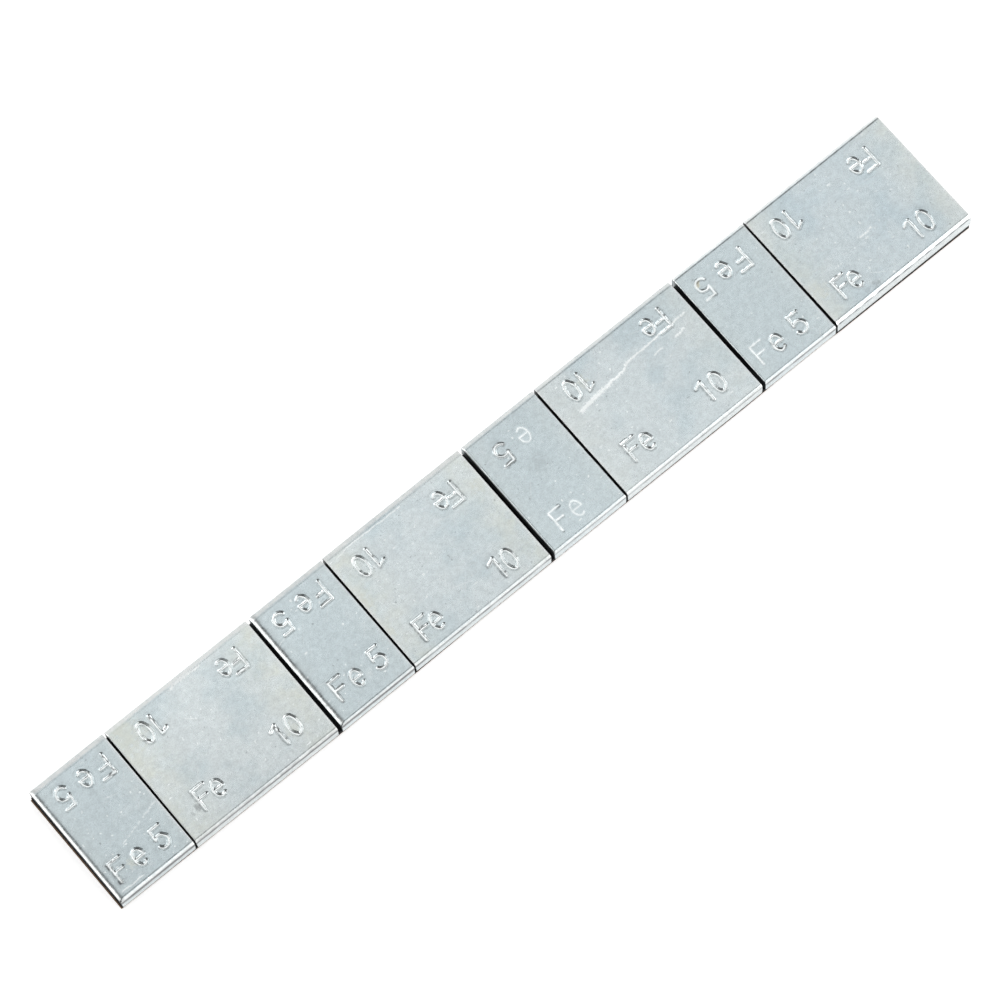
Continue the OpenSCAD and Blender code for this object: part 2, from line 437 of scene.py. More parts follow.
def edge_profile(width, drop, top_radius, side_radius):
    """Section of a long top edge, from its flat to its side, as distances in from the side and
    drops below the top: an arc of top_radius into the bevel, the bevel, which falls by drop over
    width, and an arc of side_radius into the side. With slope s the arcs reach r tan(s / 2) and
    r tan((90 - s) / 2) along their tangents."""
    slope = math.atan2(drop, width)
    a = np.linspace(0, slope, 7)
    first = np.stack([
        width + top_radius * math.tan(slope / 2) - top_radius * np.sin(a), top_radius * (1 - np.cos(a)),
    ], 1)
    b = np.linspace(slope, math.pi / 2, 6)
    foot = drop + side_radius * math.tan(math.pi / 4 - slope / 2)
    last = np.stack([side_radius * (1 - np.sin(b)), foot - side_radius * np.cos(b)], 1)
    count = max(int(round((first[-1, 0] - last[0, 0]) / 0.08)), 2)
    middle = np.linspace(first[-1], last[0], count + 1)
    points = np.concatenate([first, middle[1:-1], last])
    return points[:, 0], points[:, 1]


def steps_between(start, end, step):
    """Evenly spaced places between start and end, without the two themselves."""
    count = max(int(math.ceil((end - start) / step)), 1)
    return np.linspace(start, end, count + 1)[1:-1]


def end_steps(reach, step):
    """Distances from a cut end at which the grid is laid: close together over the rolled edge."""
    t = np.linspace(0, 1, 13)
    return np.concatenate([reach * t * (0.35 + 0.65 * t), reach + step * np.arange(1, 3)])


def roll_over(distance, reach, steep, degrees):
    """Drop of a rolled-over edge at a distance from the cut: an arc that turns from flat at reach
    to a slope of so many degrees at steep, and that slope from there out to the cut."""
    slope = math.radians(degrees)
    radius = (reach - steep) / math.sin(slope)
    inside = np.clip(reach - distance, 0.0, reach - steep)
    arc_drop = radius - np.sqrt(np.maximum(radius ** 2 - inside ** 2, 0.0))
    return arc_drop + np.clip(steep - distance, 0.0, steep) * math.tan(slope)


def stamped_fields(name, sizes, U, V, seed):
    """How much burnish the top has, partly a painted highlight, how high its lip stands, how deep it is
    stamped and how much painted shade lies along the marks' left sides, each from 0 to about 1. With a
    the distance to a stroke's centre line and w half the stroke's width, the depth falls from 1 to 0 by a
    smooth step across the wall at w, the burnish by exp(-(a / w)^n), and the lip and the painted shade
    are bell curves just outside the wall."""
    u, v = U[:, 0], V[0]
    mark, lip, depth, stem_shade = (np.zeros_like(U) for _ in range(4))
    half_stroke, wall = sizes.stroke / MM / 2, sizes.stroke_wall / MM
    uneven = np.clip(0.93 + 0.2 * waves(U, V, seed + 3, 2.6), 0.45, 1.15)
    for lines, hard, stem_shading in row_marks(name):
        points = np.concatenate(lines)
        (u0, v0), (u1, v1) = points.min(0) - 1.0, points.max(0) + 1.0
        i0, i1 = np.searchsorted(u, (u0, u1))
        j0, j1 = np.searchsorted(v, (v0, v1))
        part = np.s_[i0:i1, j0:j1]
        wobble = 0.03 * waves(U[part], V[part], seed + 4, 1.0)
        away = distance_to_lines(U[part], V[part], lines) + wobble
        groove = 1 - smooth_step(half_stroke - wall / 2, half_stroke + wall / 2, away)
        strength = hard * uneven[part]
        depth[part] = np.maximum(depth[part], groove * smooth_step(0.27, 0.85, strength))
        firm = float(smooth_step(0.3, 0.75, hard))
        broad = half_stroke * (0.6 + 0.55 * firm)
        # Whitening of the strokes, partly burnish and partly painted highlight
        burnished_and_highlit = np.exp(-np.abs(away / broad) ** (2 + 2 * firm))
        mark[part] = np.maximum(mark[part], burnished_and_highlit * np.minimum(1.0, 3.0 * strength))
        beside = np.exp(-((away - half_stroke - 0.8 * wall) / (0.7 * wall)) ** 2)
        lip[part] = np.maximum(lip[part], beside * strength)
        # Painted shade along the left wall of each stem, where the groove falls dark
        leftward = smooth_step(0.5, 0.9, -np.sign(stem_shading) * np.gradient(away, u[i0:i1], axis=0))
        line = np.exp(-((away - half_stroke - 0.3 * wall) / 0.15) ** 2)
        stem_shade[part] = np.maximum(stem_shade[part], abs(stem_shading) * leftward * line * np.minimum(strength, 1.0))
    return mark, lip, depth, stem_shade


def worn_fields(name, U, V, seed):
    """How scratched, smudged and straw-coloured the top is, from 0 to 1 or a little more, where some
    smudges are painted shade: each falls from the strength of its line or spot to 0 by a smooth step of
    the distance, which a random field makes ragged."""
    scratch, smudge_and_shade, straw = (np.zeros_like(U) for _ in range(3))
    for line, broad, bite in SCRATCHES.get(name, ()):
        rough = np.clip(1 + 0.5 * waves(U, V, seed + 5, 0.4), 0.4, 1.7)
        away = distance_to_lines(U, V + 0.05 * waves(U, V * 0, seed + 6, 1.5), [np.array(line)])
        kept = 1 - smooth_step(0.15 * broad, 0.6 * broad, away / rough)
        scratch = np.maximum(scratch, bite * kept * np.clip(0.6 + 0.5 * rough, 0, 1))
    for spots, field in ((SMUDGES_AND_SHADE, smudge_and_shade), (STRAW, straw)):
        for place_u, place_v, radius, strong in spots.get(name, ()):
            r = np.hypot(U - place_u, V - place_v) + 0.35 * radius * waves(U, V, seed + 7, 0.8)
            np.maximum(field, strong * (1 - smooth_step(0.3 * radius, radius, r)), out=field)
    return scratch, smudge_and_shade, straw


def weight_mesh(name, sizes):
    """One weight as a closed mesh in metres, and the values that its finish reads.
    The top is a grid over length and width whose height is the bar's top, less the rolled edges,
    the bevels and the stamped strokes, plus their lips and a slight waviness. The sides are a
    second grid over the outline and the height, which leans in where the ends were torn."""
    low, high = (np.array(corner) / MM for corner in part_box(name))
    turn = math.radians(LAID_TURN[name])
    length = (high[0] - low[0] - BAR_WIDTH * abs(math.sin(turn))) / math.cos(turn)
    thick = high[2] - low[2]
    half = BAR_WIDTH / 2
    seed = 11 * int(name.split("_")[1])
    cell, wide = sizes.cell / MM, sizes.wide_cell / MM
    reach, steep, degrees, edge_shade = ROLLED[name]
    radii = sizes.bevel_top_radius / MM, sizes.bevel_side_radius / MM
    bevels = BEVELS[name]
    near_in, near_drop = edge_profile(*bevels[:2], *radii)
    far_in, far_drop = edge_profile(*bevels[2:], radii[1])

    far_plain = SCRATCHED_FAR if name in SCRATCHES else PLAIN_FAR
    flat_near, flat_far = near_in[0] - half, half - far_in[0]
    v = np.concatenate([
        near_in[::-1] - half, steps_between(flat_near, PLAIN_NEAR, cell), [PLAIN_NEAR],
        steps_between(PLAIN_NEAR, far_plain, wide), [far_plain],
        steps_between(far_plain, flat_far, cell), half - far_in,
    ])
    v_drop = np.zeros_like(v)
    v_drop[:len(near_drop)] = near_drop[::-1]
    v_drop[-len(far_drop):] = far_drop
    left = end_steps(max(reach * 1.15, 0.2), cell)
    right = length - end_steps(0.2, cell)[::-1]
    u = np.concatenate([left, steps_between(left[-1], right[0], cell), right])
    U, V = np.meshgrid(u, v, indexing="ij")

    ragged = 1 + 0.06 * waves(V, U * 0, seed + 1, 2.4) + 0.03 * waves(V, U * 0, seed + 14, 0.6)
    left_drop = roll_over(U / ragged, reach, steep, degrees)
    frayed = 1 + 0.15 * waves(V, U * 0, seed + 2, 1.4)
    right_drop = roll_over((length - U) / frayed, *CUT_OFF[name])
    ends_drop = np.maximum(left_drop, right_drop)
    drop = np.cbrt(ends_drop ** 3 + np.broadcast_to(v_drop, U.shape) ** 3)

    mark, lip, depth, stem_shade = stamped_fields(name, sizes, U, V, seed)
    scratch, smudge_and_shade, straw = worn_fields(name, U, V, seed)
    wavy = sizes.waviness / MM * (waves(U, V, seed + 8, 9.0) + 0.08 * waves(U, V, seed + 9, 2.5))
    lumps = LUMPS * waves(U, V, seed + 10, 1.1) * np.clip(v_drop / 0.3, 0, 1)
    relief = sizes.lip / MM * lip * (1 - depth) - sizes.depth / MM * depth - SCRATCH_DEPTH * scratch
    height = thick - drop + np.minimum(relief + (wavy + lumps) * 0.9 - CLEARANCE, 0.0)

    top = np.arange(U.size).reshape(U.shape)
    rim = np.concatenate([top[:-1, 0], top[-1, :-1], top[:0:-1, -1], top[0, :0:-1]])
    rim_u, rim_v, rim_z = U.ravel()[rim], V.ravel()[rim], height.ravel()[rim]
    at_left, at_right = rim_u < 1e-6, rim_u > length - 1e-6
    z = rim_z * (1 - np.array(SIDE_RINGS)[:, None])
    into_foot = np.clip(FOOT_RADIUS - z, 0, FOOT_RADIUS)
    foot_in = FOOT_RADIUS - np.sqrt(np.maximum(FOOT_RADIUS ** 2 - into_foot ** 2, 0))
    torn = smooth_step(0, 1.6, thick - SHEARED_DEPTH - z) * TORN_IN
    torn = torn * (1 + 0.5 * waves(rim_v + 0 * z, z * 1.5, seed + 12, 0.7))
    side_v = rim_v * (1 - foot_in / half)
    side_u = rim_u + torn * at_left - torn * at_right

    all_u = np.concatenate([U.ravel(), side_u.ravel()])
    all_v = np.concatenate([V.ravel(), side_v.ravel()])
    all_z = np.concatenate([height.ravel(), z.ravel()])
    middle = (low + high) / 2
    across_u = all_u - length / 2
    co = np.stack([
        middle[0] + across_u * math.cos(turn) - all_v * math.sin(turn),
        middle[1] + across_u * math.sin(turn) + all_v * math.cos(turn),
        low[2] + all_z,
    ], 1) * MM

    quads = [np.stack([top[:-1, :-1], top[1:, :-1], top[1:, 1:], top[:-1, 1:]], -1).reshape(-1, 4)]
    rings = np.concatenate([rim[None], top.size + np.arange(z.size).reshape(z.shape)])
    beyond = np.roll(rings, -1, axis=1)
    quads.append(np.stack([rings[:-1], rings[1:], beyond[1:], beyond[:-1]], -1).reshape(-1, 4))
    underside = rings[-1][::-1]

    bare_left, bare_right = BARE[name]
    cut = (bare_left * at_left + bare_right * at_right) * np.ones_like(z)
    end_away = np.minimum(U, length - U)
    near_out, far_out = half + v, half - v
    inner_near, outer_near, side_near, below, inner_far = SHADE_AND_GRIME_LINES[name]
    patchy = np.clip(0.85 + 0.25 * waves(U, V, seed + 13, 1.6), 0.5, 1.15)
    # Dark hairlines along the bevels, partly grime and partly painted shade in place of dark reflections
    grime_and_shade_lines = (
        inner_near * np.exp(-((near_out - bevels[0] - 0.05) / 0.07) ** 2)
        + outer_near * np.exp(-((near_out - 0.03) / 0.13) ** 2)
        + inner_far * np.exp(-((far_out - bevels[2] - 0.04) / 0.09) ** 2)
    ) * patchy
    grime_and_shade_lines = np.maximum(grime_and_shade_lines, stem_shade * np.clip(0.85 + 0.6 * waves(U, V, seed + 16, 0.9), 0.35, 1.2))
    along = ~(at_left | at_right) * np.ones_like(z)
    # Dark hairline near the top of the near side, partly grime and partly painted shade
    side_grime_and_shade = side_near * np.exp(-((thick - z - bevels[1] - below) / 0.42) ** 2) * along * (side_v < 0)
    side_grime_and_shade = side_grime_and_shade * np.clip(0.9 + 0.25 * waves(rim_u + 0 * z, z, seed + 17, 2.5), 0.4, 1.2)
    overall, side_tone, slope = TONE[name]
    # Painted shade darkens the rounding at the left edge
    tone = overall + slope * V / half - edge_shade * np.exp(-(U / (0.45 * reach)) ** 2)
    # Lighter zinc on the bevels and on the short weights' rolled edges, partly painted highlight
    bevelled = smooth_step(0.02, 0.2, np.broadcast_to(v_drop, U.shape))
    bevelled = np.maximum(bevelled, smooth_step(0.03, 0.12, left_drop) * (name in SHORT_WEIGHTS))
    # Painted shade just inside the rolled-over left edge, in place of its dark reflection
    inward = U / ragged - 0.6 * reach
    rolled = np.exp(-(inward / np.where(inward > 0, 0.42 * reach, 0.22 * reach)) ** 2)
    rolled = rolled * min(reach / 0.9, 1.0) ** 2
    rolled = rolled * np.clip(0.8 + 0.5 * waves(U * 0.4, V, seed + 15, 0.8), 0.2, 1.3)
    strawness, blueness = TINT[name]
    to_ends = 1 - smooth_step(0, 0.32 * length, end_away)
    # Painted highlight along the right cut edge, and along the left one of the 10 g weights
    rim_highlight = np.exp(-(length - U) / 0.14) + np.exp(-U / 0.12) * (name in LONG_WEIGHTS)
    on_top = {
        "mark": mark, "scratch": scratch, "smudge_and_shade": smudge_and_shade, "straw": straw, "tone": tone, "grime_and_shade_lines": grime_and_shade_lines,
        "side": bevelled, "flat": 1 - smooth_step(0.02, 0.1, drop), "rolled": rolled, "rim": rim_highlight,
        "cut": np.zeros_like(U), "ends": strawness * to_ends, "blue": blueness * (1 - to_ends),
    }
    on_sides = {
        "tone": np.full_like(z, side_tone), "grime_and_shade_lines": side_grime_and_shade, "side": along * SIDE_LIGHTENED, "cut": cut,
    }
    plain = np.zeros_like(z)
    values = {
        key: np.concatenate([value.ravel(), on_sides.get(key, plain).ravel()])
        for key, value in on_top.items()
    }
    return co, quads, underside, values


def build_mesh(name, co, quads, loops=()):
    """Puts numpy vertices, quads and a few many-sided faces into a new mesh."""
    quads = np.concatenate(quads)
    corners = np.concatenate([quads.ravel()] + [np.asarray(loop) for loop in loops]).astype(np.int32)
    totals = np.concatenate([np.full(len(quads), 4), [len(loop) for loop in loops]]).astype(np.int32)
    starts = np.concatenate([[0], np.cumsum(totals)[:-1]]).astype(np.int32)
    mesh = bpy.data.meshes.new(name)
    mesh.vertices.add(len(co))
    mesh.vertices.foreach_set("co", co.astype(np.float32).ravel())
    mesh.loops.add(len(corners))
    mesh.loops.foreach_set("vertex_index", corners)
    mesh.polygons.add(len(totals))
    mesh.polygons.foreach_set("loop_start", starts)
    mesh.polygons.foreach_set("loop_total", totals)
    mesh.update(calc_edges=True)
    mesh.validate()
    mesh.shade_smooth()
    mesh.set_sharp_from_angle(angle=math.radians(SHARP_ANGLE))
    return mesh


def add_piece(name, mesh, material, node):
    """Links a finished piece, hides the solid it stands for and lets it ride on the one body."""
    piece = bpy.data.objects.new(name, mesh)
    bpy.context.scene.collection.objects.link(piece)
    mesh.materials.append(material)
    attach(piece, "root")
    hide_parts(node)
    return piece


class Nodes:
    """A node tree under construction, empty at first: its nodes are added in rows and linked."""

    def __init__(self, tree):
        self.nodes, self.links = tree.nodes, tree.links
        self.nodes.clear()

    def add(self, kind, **settings):
        """A new node with its settings."""
        node = self.nodes.new(kind)
        for key, value in settings.items():
            setattr(node, key, value)
        node.location = (220 * (len(self.nodes) % 12), -260 * (len(self.nodes) // 12))
        return node

    def feed(self, value, socket):
        """Links a socket, or sets a number or colour."""
        if isinstance(value, bpy.types.NodeSocket):
            self.links.new(value, socket)
        else:
            socket.default_value = value

    def math(self, operation, a, b=0.0, clamp=False):
        """The result of a Math node."""
        node = self.add("ShaderNodeMath", operation=operation, use_clamp=clamp)
        self.feed(a, node.inputs[0])
        self.feed(b, node.inputs[1])
        return node.outputs[0]

    def band(self, value, low, high, to_low=0.0, to_high=1.0):
        """Maps low..high of value to to_low..to_high along a smooth step."""
        node = self.add("ShaderNodeMapRange", interpolation_type="SMOOTHSTEP")
        self.feed(value, node.inputs["Value"])
        node.inputs["From Min"].default_value = low
        node.inputs["From Max"].default_value = high
        node.inputs["To Min"].default_value = to_low
        node.inputs["To Max"].default_value = to_high
        return node.outputs["Result"]

    def ramp(self, value, steps):
        """Grey level that runs straight between the steps, each a value and its level."""
        node = self.add("ShaderNodeValToRGB")
        points = node.color_ramp.elements
        while len(points) < len(steps):
            points.new(0.5)
        for point, (where, level) in zip(points, steps):
            point.position = where
            point.color = (level, level, level, 1.0)
        self.feed(value, node.inputs["Fac"])
        return node.outputs["Color"]


class Surface(Nodes):
    """A material with one Principled surface, whose patterns lie on Object coordinates."""

    def __init__(self, name):
        self.material = bpy.data.materials.new(name)
        self.material.use_nodes = True
        super().__init__(self.material.node_tree)
        output = self.add("ShaderNodeOutputMaterial")
        self.surface = self.add("ShaderNodeBsdfPrincipled")
        self.feed(self.surface.outputs["BSDF"], output.inputs["Surface"])
        self.place = self.add("ShaderNodeTexCoord").outputs["Object"]

    def noise(self, per_metre, detail=2.0, rough=0.5, stretch=None, turn=0.0, shift=0.0):
        """Noise with features of about 1/per_metre metres, moved by shift, or drawn out by stretch
        along X and then turned by turn degrees."""
        mapping = self.add("ShaderNodeMapping")
        mapping.inputs["Location"].default_value = (shift, shift, 0.0)
        if stretch:
            mapping.vector_type = "TEXTURE"
            mapping.inputs["Rotation"].default_value = (0.0, 0.0, math.radians(turn))
            mapping.inputs["Scale"].default_value = (stretch, 1.0, 1.0)
        self.feed(self.place, mapping.inputs["Vector"])
        node = self.add("ShaderNodeTexNoise")
        node.inputs["Scale"].default_value = per_metre
        node.inputs["Detail"].default_value = detail
        node.inputs["Roughness"].default_value = rough
        self.feed(mapping.outputs["Vector"], node.inputs["Vector"])
        return node.outputs["Fac"]

    def attribute(self, name):
        """One of the values that the mesh carries."""
        return self.add("ShaderNodeAttribute", attribute_name=name).outputs["Fac"]

    def mix(self, factor, a, b, blend="MIX"):
        """The colour from a to b by the factor."""
        node = self.add("ShaderNodeMix", data_type="RGBA", blend_type=blend)
        self.feed(factor, node.inputs["Factor"])
        self.feed(a, node.inputs["A"])
        self.feed(b, node.inputs["B"])
        return node.outputs["Result"]

    def bump(self, height, distance, strength=1.0, under=None):
        """A normal bent by a height, on top of the one under it."""
        node = self.add("ShaderNodeBump")
        node.inputs["Strength"].default_value = strength
        node.inputs["Distance"].default_value = distance
        self.feed(height, node.inputs["Height"])
        if under is not None:
            self.feed(under, node.inputs["Normal"])
        return node.outputs["Normal"]


def rgba(colour, share=1.0):
    """A colour times a share, with full alpha."""
    return (colour[0] * share, colour[1] * share, colour[2] * share, 1.0)


def zinc_material(name, finish, paleness):
    """Zinc plating: blue, pale and straw clouds, of which more are pale the higher paleness is, grain,
    light and dark specks, fine scratches in two directions, dark hairlines along the bevels that are
    partly grime and partly painted shade, painted shade beside the stems and inside the rolled edges,
    lighter bevels, sides and strokes that are partly painted highlight, a painted highlight along the
    cut rims, bright scratches, smudges of which some are painted shade, and bare, oily cut ends."""
    s = Surface(name)
    clouds = s.noise(150, detail=3, rough=0.55)
    patches = s.noise(420, detail=3, rough=0.6, shift=0.31)
    fine = s.noise(1500, detail=4, rough=0.65, shift=0.17)
    grain = s.noise(5200, detail=2, rough=0.6)

    colour = s.mix(s.band(clouds, 0.5 - paleness, 0.72 - paleness), rgba(finish.blue), rgba(finish.pale))
    warm = s.math("MULTIPLY", s.band(patches, 0.35, 0.75, 0.2, 1.0), s.attribute("ends"))
    colour = s.mix(warm, colour, rgba(finish.straw))
    cold = s.math("MULTIPLY", s.band(clouds, 0.35, 0.65, 1.0, 0.6), s.attribute("blue"))
    colour = s.mix(cold, colour, rgba(finish.deep_blue))
    mottled = s.math("ADD", s.band(fine, 0.25, 0.75, -0.085, 0.085), s.band(grain, 0.25, 0.75, -0.1, 0.1))
    mottled = s.math("ADD", mottled, s.band(patches, 0.3, 0.7, -0.03, 0.03))
    lightness = s.math("ADD", s.math("ADD", mottled, s.attribute("tone")), 1.07)
    colour = s.mix(1.0, colour, lightness, "MULTIPLY")
    straw = s.attribute("straw")
    colour = s.mix(s.math("MULTIPLY", straw, 0.8, clamp=True), colour, rgba(finish.straw))
    browned = s.math("SUBTRACT", straw, 1.0, clamp=True)
    colour = s.mix(browned, colour, rgba(BROWNED))

    hair_one = s.band(s.noise(4200, detail=1, stretch=26.0, turn=52), 0.64, 0.72)
    hair_two = s.band(s.noise(3600, detail=1, stretch=22.0, turn=-18, shift=0.4), 0.65, 0.73)
    hairs = s.math("MAXIMUM", hair_one, hair_two)
    broken = s.math("MULTIPLY", hairs, s.band(s.noise(500, detail=1, shift=0.77), 0.45, 0.6))
    colour = s.mix(s.math("MULTIPLY", broken, 0.2), colour, rgba(HAIR_SCRATCH))
    bright = s.band(s.noise(1900, detail=0, shift=0.53), 0.775, 0.81)
    bright = s.math("MULTIPLY", bright, s.band(clouds, 0.42, 0.58, 0.1, 0.75))
    colour = s.mix(bright, colour, rgba(BRIGHT_SPECK))
    dark = s.band(s.noise(1700, detail=1, shift=0.91), 0.755, 0.8)
    colour = s.mix(s.math("MULTIPLY", dark, 0.45), colour, rgba(DARK_SPECK))

    # Layers from the lowest up: value that holds it, pattern that breaks it and its limits, share, colour
    layers = (
        # Lighter zinc on bevels and sides, partly rubbed and partly painted highlight
        ("side", fine, (0.3, 0.7, 0.55, 1.0), 1.0, finish.side),
        # White strokes, partly burnish and partly painted highlight
        ("mark", fine, (0.3, 0.65, 0.65, 1.0), 1.0, finish.burnished_and_highlit),
        # Painted shade, partly grime: the dark hairlines along the bevels and beside the stamped stems
        ("grime_and_shade_lines", None, (), 0.9, GRIME_AND_SHADE),
        # Painted shade just inside the rolled-over left edges
        ("rolled", fine, (0.35, 0.6, 0.35, 1.0), 0.45, ROLLED_EDGE_SHADE),
        # Oil stains, and painted shade beside the F stems
        ("smudge_and_shade", fine, (0.3, 0.6, 0.4, 1.0), 0.65, OIL_SMUDGE_AND_SHADE),
        ("scratch", fine, (0.3, 0.5, 0.65, 1.0), 1.0, SCRAPED),
        # Painted highlight along the cut rims
        ("rim", grain, (0.35, 0.6, 0.6, 1.0), 1.0, RIM_HIGHLIGHT),
    )
    for value, pattern, limits, share, layer_colour in layers:
        cover = s.math("MULTIPLY", s.attribute(value), share)
        if pattern is not None:
            cover = s.math("MULTIPLY", cover, s.band(pattern, *limits))
        colour = s.mix(cover, colour, rgba(layer_colour))

    cut = s.attribute("cut")
    drag = s.noise(1400, detail=3, stretch=0.08, shift=0.2)
    bare = s.mix(s.band(drag, 0.3, 0.7), rgba(finish.bare, 0.6), rgba(finish.bare, 1.8))
    colour = s.mix(cut, colour, bare)
    s.feed(colour, s.surface.inputs["Base Color"])
    plain = s.math("MULTIPLY", s.attribute("flat"), s.math("SUBTRACT", 1.0, s.attribute("mark"), clamp=True))
    s.feed(s.math("SUBTRACT", 1.0, s.math("MULTIPLY", plain, finish.chalk)), s.surface.inputs["Metallic"])
    grazing = s.mix(s.attribute("flat"), (1.0, 1.0, 1.0, 1.0), rgba((finish.grazing,) * 3))
    s.feed(grazing, s.surface.inputs["Specular Tint"])
    rough = s.math("ADD", s.band(patches, 0.3, 0.7, -0.05, 0.06), finish.roughness)
    rough = s.math("ADD", rough, s.band(grain, 0.3, 0.7, -0.03, 0.03))
    rough = s.math("ADD", rough, s.math("MULTIPLY", s.attribute("mark"), -0.1))
    rough = s.math("ADD", rough, s.math("MULTIPLY", cut, 0.25), clamp=True)
    s.feed(rough, s.surface.inputs["Roughness"])
    normal = s.bump(fine, 0.005 * MM, 0.5)
    normal = s.bump(grain, 0.006 * MM, 0.5, normal)
    normal = s.bump(broken, 0.006 * MM, 0.5, normal)
    s.feed(normal, s.surface.inputs["Normal"])
    return s.material


def foam_material(finish):
    """Closed-cell foam: near black, with burst cells at its cut edges as pits and dull highlights."""
    s = Surface("black_foam_tape")
    cells = s.add("ShaderNodeTexVoronoi")
    cells.inputs["Scale"].default_value = 9000
    s.feed(s.place, cells.inputs["Vector"])
    size = cells.outputs["Distance"]
    dust = s.band(s.noise(2600, detail=4, rough=0.7), 0.55, 0.8)
    colour = s.mix(s.band(size, 0.1, 0.7), rgba(finish.foam, 0.6), rgba(finish.foam, 1.6))
    colour = s.mix(s.math("MULTIPLY", dust, 0.25), colour, rgba(FOAM_DUST))
    s.feed(colour, s.surface.inputs["Base Color"])
    s.feed(s.band(size, 0.1, 0.8, 0.62, 0.9), s.surface.inputs["Roughness"])
    s.surface.inputs["Specular IOR Level"].default_value = 0.12
    s.feed(s.bump(size, 0.04 * MM, 0.8), s.surface.inputs["Normal"])
    return s.material


def liner_material(finish):
    """Release paper: brown kraft with short faint fibres, clouds and a few dark specks."""
    s = Surface("brown_release_liner")
    fibres = s.noise(2600, detail=4, rough=0.6, stretch=3.0)
    cloud = s.noise(300, detail=3)
    specks = s.band(s.noise(1800, detail=1, shift=0.4), 0.7, 0.76)
    colour = s.mix(s.band(fibres, 0.3, 0.7), rgba(finish.liner, 0.92), rgba(finish.liner, 1.08))
    colour = s.mix(s.band(cloud, 0.3, 0.7, 0.0, 0.35), colour, rgba(finish.liner, 0.9))
    colour = s.mix(s.math("MULTIPLY", specks, 0.35), colour, rgba(PAPER_SPECK))
    s.feed(colour, s.surface.inputs["Base Color"])
    s.feed(s.band(fibres, 0.3, 0.7, 0.6, 0.75), s.surface.inputs["Roughness"])
    s.surface.inputs["Specular IOR Level"].default_value = 0.3
    s.feed(s.bump(fibres, 0.006 * MM, 0.5), s.surface.inputs["Normal"])
    return s.material


def outline_points(corners, step):
    """Points about step apart along the straight sides of a closed outline, in order."""
    points = []
    for a, b in zip(corners, np.roll(corners, -1, axis=0)):
        count = max(int(round(np.linalg.norm(b - a) / step)), 1)
        t = np.arange(count)[:, None] / count
        points.append(a + (b - a) * t)
    return np.concatenate(points)


def strip_outline(node):
    """Corners of a flat node's outline, counter-clockwise from above, in mm: of its vertices,
    those that lie farthest out along each of the four diagonals."""
    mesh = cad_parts[node].data
    co = np.zeros(len(mesh.vertices) * 3)
    mesh.vertices.foreach_get("co", co)
    co = co.reshape(-1, 3)[:, :2] / MM
    picks = [(-1, -4), (1, -4), (1, 4), (-1, 4)]
    return np.array([co[np.argmax(co @ np.array(pick, float))] for pick in picks])


def slab_mesh(name, node, step, rough, seed):
    """A flat strip as a closed mesh: its outline carried down through a few levels, drawn in by a
    random field of the place on the outline and the height, between a flat top and underside.
    The near edge is drawn in further, by a broken line over the length, where the knife wandered."""
    low, high = (np.array(corner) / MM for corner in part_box(node))
    outline = outline_points(strip_outline(node), step)
    middle = outline.mean(0)
    levels = np.linspace(0, 1, 7)[:, None]
    away = np.cumsum(np.full(len(outline), step))
    draw = rough * (0.5 + 0.5 * waves(away + 0 * levels, levels * (high[2] - low[2]) * 2, seed, 0.7, 24))
    draw = np.clip(draw, 0.0, 2 * rough)
    inward = np.sign(outline - middle)
    near_end = np.abs(outline - middle) > np.abs(outline - middle).max(0) - 1.0
    xy = outline[None] - inward[None] * near_end[None] * draw[..., None]
    wander = np.interp(outline[:, 0], *zip(*KNIFE_WANDER)) * near_end[:, 1] * (inward[:, 1] < 0)
    xy[..., 1] += wander
    z = np.broadcast_to(high[2] + (low[2] - high[2]) * levels, draw.shape)
    co = np.concatenate([xy, z[..., None]], -1).reshape(-1, 3) * MM
    rings = np.arange(draw.size).reshape(draw.shape)
    beyond = np.roll(rings, -1, axis=1)
    quads = np.stack([rings[:-1], rings[1:], beyond[1:], beyond[:-1]], -1).reshape(-1, 4)
    return build_mesh(name, co, [quads], [rings[0], rings[-1][::-1]])


def make_weights(names, material):
    """Makes the named weights of one material, with the values that their finish reads."""
    sizes = bpy.context.scene.weight_sizes
    for name in names:
        co, quads, underside, values = weight_mesh(name, sizes)
        mesh = build_mesh("stamped_" + name, co, quads, [underside])
        for key, value in values.items():
            layer = mesh.attributes.new(key, "FLOAT", "POINT")
            layer.data.foreach_set("value", value.astype(np.float32))
        add_piece("stamped_" + name, mesh, material, name)


class OBJECT_OT_short_weights(bpy.types.Operator):
    """Makes the stamped 5 g weights"""

    bl_idname = "object.short_balance_weights"
    bl_label = "5 g weights"

    def execute(self, context):
        finish = context.scene.zinc_finish
        make_weights(SHORT_WEIGHTS, zinc_material("zinc_plating_5g", finish, SHORT_PALENESS))
        return {"FINISHED"}


class OBJECT_OT_long_weights(bpy.types.Operator):
    """Makes the stamped 10 g weights"""

    bl_idname = "object.long_balance_weights"
    bl_label = "10 g weights"

    def execute(self, context):
        finish = context.scene.zinc_finish
        make_weights(LONG_WEIGHTS, zinc_material("zinc_plating_10g", finish, LONG_PALENESS))
        return {"FINISHED"}


class OBJECT_OT_foam_tape(bpy.types.Operator):
    """Makes the black foam tape that carries the weights"""

    bl_idname = "object.balance_weight_tape"
    bl_label = "Foam tape"

    def execute(self, context):
        mesh = slab_mesh("cut_foam_tape", "foam_tape", *TAPE_CUT)
        add_piece("cut_foam_tape", mesh, foam_material(context.scene.tape_finish), "foam_tape")
        return {"FINISHED"}


class OBJECT_OT_release_liner(bpy.types.Operator):
    """Makes the brown release liner under the tape"""

    bl_idname = "object.balance_weight_liner"
    bl_label = "Release liner"

    def execute(self, context):
        mesh = slab_mesh("paper_release_liner", "release_liner", *LINER_CUT)
        material = liner_material(context.scene.tape_finish)
        add_piece("paper_release_liner", mesh, material, "release_liner")
        return {"FINISHED"}


